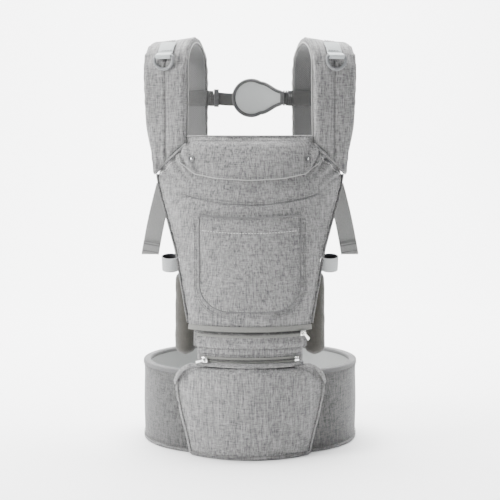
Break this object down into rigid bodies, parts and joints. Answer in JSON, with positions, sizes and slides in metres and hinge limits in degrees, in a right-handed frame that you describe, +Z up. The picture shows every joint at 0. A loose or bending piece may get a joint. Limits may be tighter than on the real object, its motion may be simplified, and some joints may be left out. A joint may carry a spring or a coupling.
{
  "type": "soft baby carrier",
  "caption": "Hip-seat baby carrier: padded waist belt with seat, zip-on curved front panel with head flap and pocket, two looped shoulder straps joined by a cross strap.",
  "frame": {"origin": "centre of the footprint of the carrier's box, on the surface that it stands on", "axes": "+Z up, -Y the carrier's front (away from the wearer), +X to the right seen from the front"},
  "size_m": [0.352, 0.3036, 0.654],
  "materials": {
    "heather_fabric": "heathered linen-look weave, matt",
    "light_mesh": "open spacer mesh, matt",
    "grey_mesh": "open spacer mesh, matt",
    "dark_binding": "folded binding tape, matt",
    "piping": "piped edge, matt",
    "seat_foam": "expanded bead foam",
    "grip_fabric": "dotted non-slip fabric",
    "loop_fabric": "brushed loop pile",
    "hook_tape": "moulded hook tape",
    "grey_webbing": "woven polyester webbing",
    "dark_webbing": "woven polyester webbing",
    "pale_webbing": "woven polyester webbing",
    "loop_webbing": "woven webbing, black inside",
    "bolster_fabric": "brushed cotton, matt",
    "buckle_plastic": "moulded, fine texture",
    "ring_plastic": "moulded, satin",
    "zip_tape": "woven zip tape",
    "zip_coil": "nylon coil, satin",
    "zip_metal": "polished nickel, light wear",
    "snap_metal": "satin ring snap"
  },
  "bodies": {
    "belt": {"belt_pad": "heather_fabric", "belt_lining": "light_mesh", "belt_binding_top": "dark_binding", "belt_binding_bottom": "dark_binding", "seat_pocket": "heather_fabric", "seat_foam": "seat_foam", "seat_top": "grip_fabric", "seat_flap": "heather_fabric", "closure_flap": "loop_fabric", "closure_hook": "hook_tape", "waist_webbing": "grey_webbing", "waist_female": "buckle_plastic", "waist_male": "buckle_plastic", "riser": "heather_fabric", "lower_zip_tape": "zip_tape", "lower_zip_coil": "zip_coil", "upper_zip_tape_low": "zip_tape", "upper_zip_coil": "zip_coil"},
    "waist_prong_upper": {"waist_prong_upper": "buckle_plastic"},
    "waist_prong_lower": {"waist_prong_lower": "buckle_plastic"},
    "lower_slider": {"lower_zip_slider": "zip_metal"},
    "lower_pull": {"lower_zip_pull": "zip_metal"},
    "upper_slider": {"upper_zip_slider": "zip_metal"},
    "upper_pull": {"upper_zip_pull": "zip_metal"},
    "panel": {"upper_zip_tape_high": "zip_tape", "panel_pad": "heather_fabric", "panel_lining": "light_mesh", "panel_binding": "piping", "panel_pocket": "heather_fabric", "side_bolsters": "bolster_fabric", "side_loops": "loop_webbing", "lock_anchors": "grey_webbing", "ladder_locks": "buckle_plastic", "snap_studs": "snap_metal"},
    "head_flap": {"head_flap": "heather_fabric", "snap_caps": "snap_metal"},
    "harness": {"strap_left": "heather_fabric", "strap_right": "heather_fabric", "strap_lining_left": "grey_mesh", "strap_lining_right": "grey_mesh", "lower_webbing_left": "grey_webbing", "lower_webbing_right": "grey_webbing", "ring_tabs": "pale_webbing"},
    "d_ring_left": {"d_ring_left": "ring_plastic"},
    "d_ring_right": {"d_ring_right": "ring_plastic"},
    "tail_left": {"tail_left": "grey_webbing"},
    "tail_right": {"tail_right": "grey_webbing"},
    "chest": {"chest_bands": "dark_webbing", "chest_glide": "buckle_plastic", "chest_webbing": "dark_webbing", "chest_pad": "light_mesh", "chest_female": "buckle_plastic", "chest_male": "buckle_plastic"},
    "chest_prong_upper": {"chest_prong_upper": "buckle_plastic"},
    "chest_prong_lower": {"chest_prong_lower": "buckle_plastic"}
  },
  "joints": [
    {"name": "panel_fold", "type": "hinge", "parent": "belt", "child": "panel", "pos_m": [0, -0.1433, 0.197], "axis": [1, 0, 0], "range_deg": [0, 60]},
    {"name": "flap_fold", "type": "hinge", "parent": "panel", "child": "head_flap", "pos_m": [0, -0.0793, 0.494], "axis": [-1, 0, 0], "range_deg": [0, 120]},
    {"name": "strap_swing", "type": "hinge", "parent": "panel", "child": "harness", "pos_m": [0, -0.0168, 0.424], "axis": [-1, 0, 0], "range_deg": [0, 8], "deforming": ["lower_webbing_left", "lower_webbing_right"]},
    {"name": "ring_swing_left", "type": "hinge", "parent": "harness", "child": "d_ring_left", "pos_m": [-0.13543, -0.04632, 0.62], "axis": [-0.9455, 0.3256, 0], "range_deg": [0, 100]},
    {"name": "ring_swing_right", "type": "hinge", "parent": "harness", "child": "d_ring_right", "pos_m": [0.13543, -0.04632, 0.62], "axis": [-0.9455, -0.3256, 0], "range_deg": [0, 100]},
    {"name": "chest_slide", "type": "slide", "parent": "harness", "child": "chest", "axis": [0, 0, 1], "range_m": [-0.05, 0.03]},
    {"name": "chest_release", "type": "slide", "parent": "chest", "child": "chest_prong_upper", "axis": [0, 0, -1], "range_m": [0, 0.003], "stiffness_N_per_m": 1500},
    {"name": "chest_release_low", "type": "slide", "parent": "chest", "child": "chest_prong_lower", "axis": [0, 0, 1], "range_m": [0, 0.003], "stiffness_N_per_m": 1500},
    {"name": "waist_release", "type": "slide", "parent": "belt", "child": "waist_prong_upper", "axis": [0, 0, -1], "range_m": [0, 0.003], "stiffness_N_per_m": 1500},
    {"name": "waist_release_low", "type": "slide", "parent": "belt", "child": "waist_prong_lower", "axis": [0, 0, 1], "range_m": [0, 0.003], "stiffness_N_per_m": 1500},
    {"name": "upper_zip_travel", "type": "hinge", "parent": "belt", "child": "upper_slider", "pos_m": [0, 0.0082, 0.1936], "axis": [0, 0, 1], "range_deg": [-63, 0]},
    {"name": "upper_pull_lift", "type": "hinge", "parent": "upper_slider", "child": "upper_pull", "pos_m": [0.08313, -0.12746, 0.1936], "axis": [-0.6984, -0.428, -0.5736], "range_deg": [0, 90]},
    {"name": "lower_zip_travel", "type": "hinge", "parent": "belt", "child": "lower_slider", "pos_m": [0, 0.0082, 0.153], "axis": [0, 0, 1], "range_deg": [0, 53]},
    {"name": "lower_pull_lift", "type": "hinge", "parent": "lower_slider", "child": "lower_pull", "pos_m": [-0.07099, -0.13418, 0.153], "axis": [-0.2765, 0.1379, 0.9511], "range_deg": [0, 90]},
    {"name": "tail_draw_left", "type": "slide", "parent": "panel", "child": "tail_left", "axis": [0, 0, -1], "range_m": [0, 0.04]},
    {"name": "tail_draw_right", "type": "slide", "parent": "panel", "child": "tail_right", "axis": [0, 0, -1], "range_m": [0, 0.04]}
  ],
  "couplings": [
    {"joint": "chest_release_low", "follows": "chest_release", "ratio": 1},
    {"joint": "waist_release_low", "follows": "waist_release", "ratio": 1}
  ]
}
